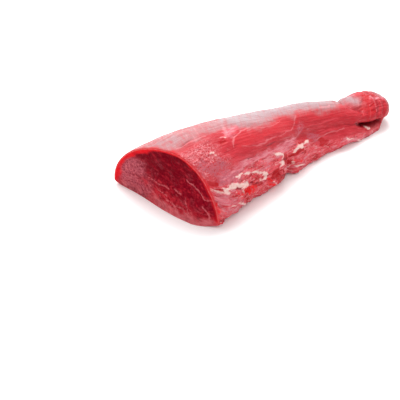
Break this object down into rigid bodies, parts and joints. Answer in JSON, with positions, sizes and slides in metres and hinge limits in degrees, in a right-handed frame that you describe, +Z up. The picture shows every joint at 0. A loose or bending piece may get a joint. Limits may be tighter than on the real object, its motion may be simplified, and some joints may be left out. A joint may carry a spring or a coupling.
{
  "type": "beef tenderloin",
  "caption": "Raw beef tenderloin roast: a long muscle tapering from a slanted cut face at its thick end to a rolled tail, with a seam along its side.",
  "frame": {"origin": "on the table, under the middle of the bounding box", "axes": "+X along the roast from the cut face to the rolled tail, +Y to the far side, away from the seam, +Z up"},
  "size_m": [0.3044, 0.1168, 0.0669],
  "materials": {
    "raw_beef": "moist raw meat: coral red outer muscle with pale fibres, cream fat and silvery skin, and a dark crimson cut face"
  },
  "bodies": {
    "root": {"tenderloin": "raw_beef"}
  },
  "joints": []
}
